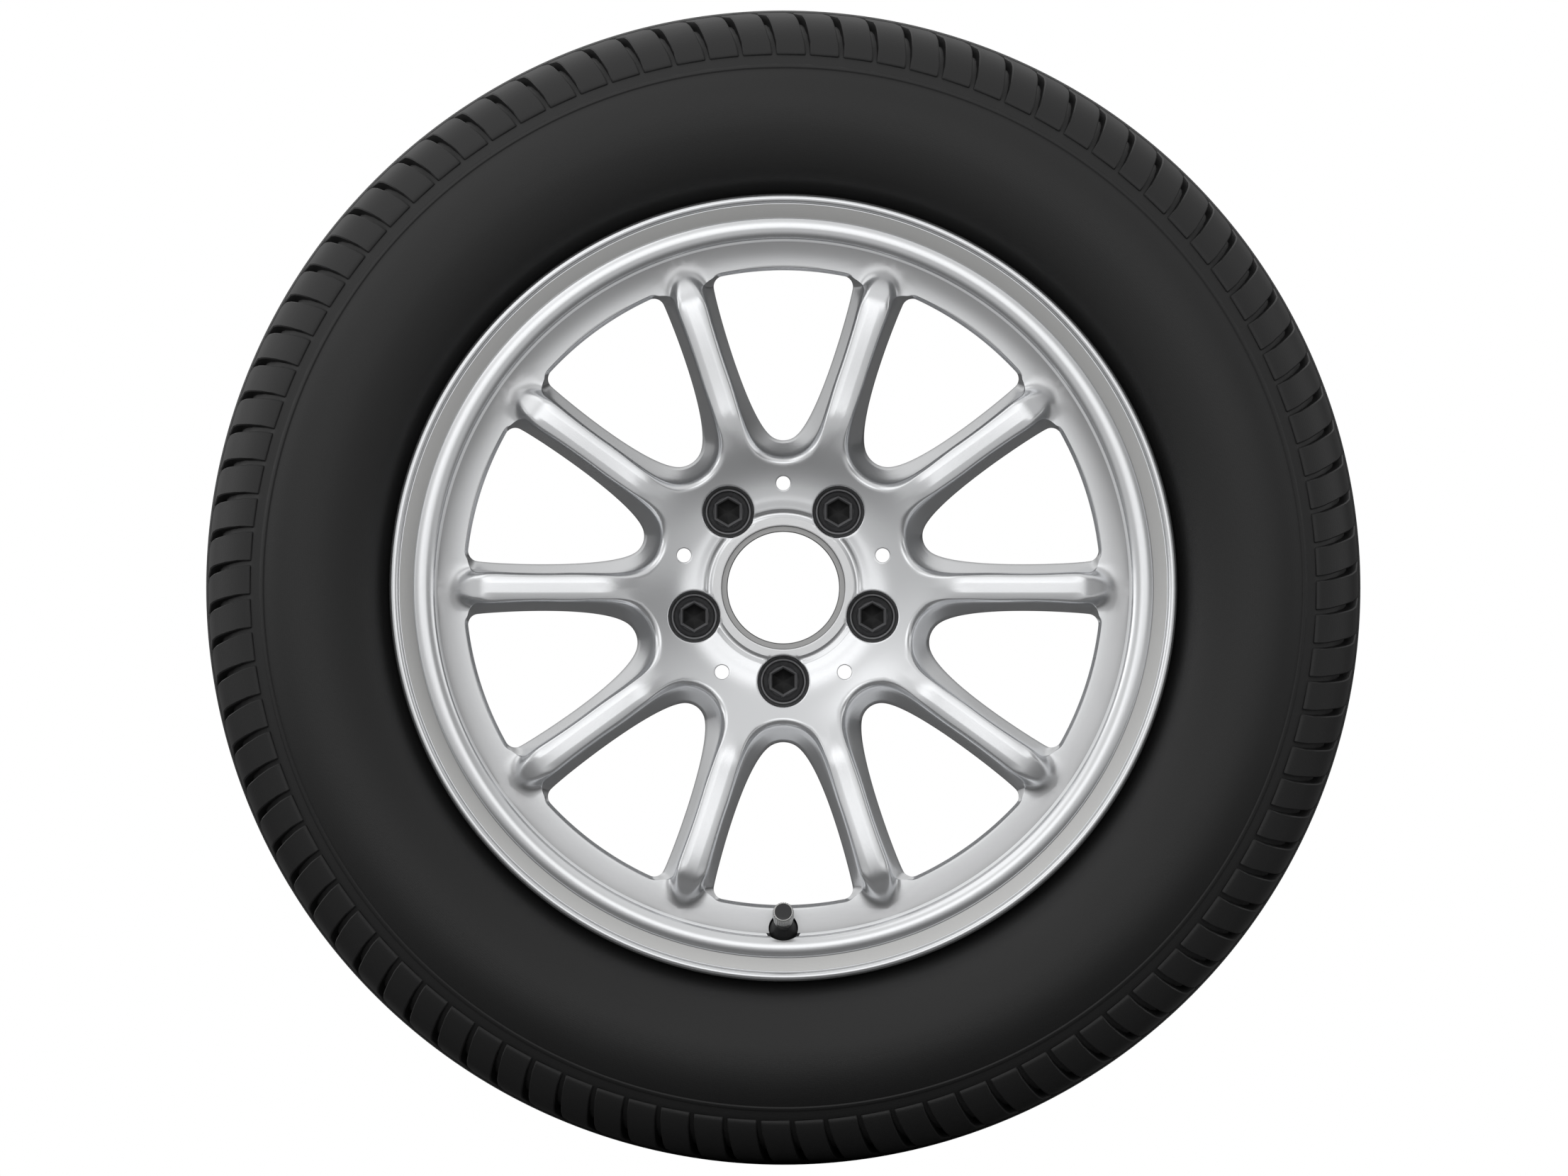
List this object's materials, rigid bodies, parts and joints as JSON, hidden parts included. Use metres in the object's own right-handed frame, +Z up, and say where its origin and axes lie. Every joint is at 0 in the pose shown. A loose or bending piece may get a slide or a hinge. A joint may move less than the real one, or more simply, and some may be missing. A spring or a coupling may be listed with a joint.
{
  "type": "alloy wheel",
  "caption": "Road wheel of a car: one-piece silver cast alloy rim with slim spokes and a machined border, carrying a tyre, wheel bolts and a snap-in valve with its cap.",
  "frame": {"origin": "centre of the wheel: on the wheel axis, midway between the two rim flanges and the two side walls of the tyre", "axes": "+Y along the wheel axis towards the car, so the outer face looks to -Y; +Z up with the valve at the bottom; +X completes the frame"},
  "size_m": [0.6902, 0.245, 0.6902],
  "materials": {
    "silver_paint": "silver metallic lacquer with a machined border",
    "tyre_rubber": "matt black rubber",
    "bolt_steel": "black coated steel",
    "valve_rubber": "matt black rubber",
    "brass": "turned brass",
    "gasket_red": "red plastic seal",
    "spring_steel": "plain steel wire",
    "cap_metal": "knurled bright metal",
    "cap_disc": "glossy black"
  },
  "bodies": {
    "wheel": {"alloy_rim": "silver_paint", "tyre": "tyre_rubber", "wheel_bolt_1": "bolt_steel", "wheel_bolt_2": "bolt_steel", "wheel_bolt_3": "bolt_steel", "wheel_bolt_4": "bolt_steel", "wheel_bolt_5": "bolt_steel", "valve_body": "valve_rubber", "valve_stem": "brass", "valve_core_body": "brass", "valve_core_gasket": "gasket_red", "valve_core_spring": "spring_steel"},
    "core_pin": {"valve_core_pin": "brass", "valve_core_seal": "valve_rubber"},
    "cap_washer": {"valve_cap_seal": "valve_rubber"},
    "cap": {"valve_cap": "cap_metal", "valve_cap_disc": "cap_disc"}
  },
  "joints": [
    {"name": "valve_pin_press", "type": "slide", "parent": "wheel", "child": "core_pin", "axis": [0, 0.9478, -0.319], "range_m": [0, 0.0015], "stiffness_N_per_m": 900, "springref_m": -0.002, "deforming": ["valve_core_spring"]},
    {"name": "valve_cap_rise", "type": "slide", "parent": "wheel", "child": "cap_washer", "axis": [0, -0.9478, 0.319], "range_m": [0, 0.0048]},
    {"name": "valve_cap_turn", "type": "hinge", "parent": "cap_washer", "child": "cap", "pos_m": [0, -0.10588, -0.19627], "axis": [0, -0.9478, 0.319], "range_deg": [0, 2160]}
  ],
  "couplings": [
    {"joint": "valve_cap_rise", "follows": "valve_cap_turn", "m_per_rad": 0.00012637}
  ]
}
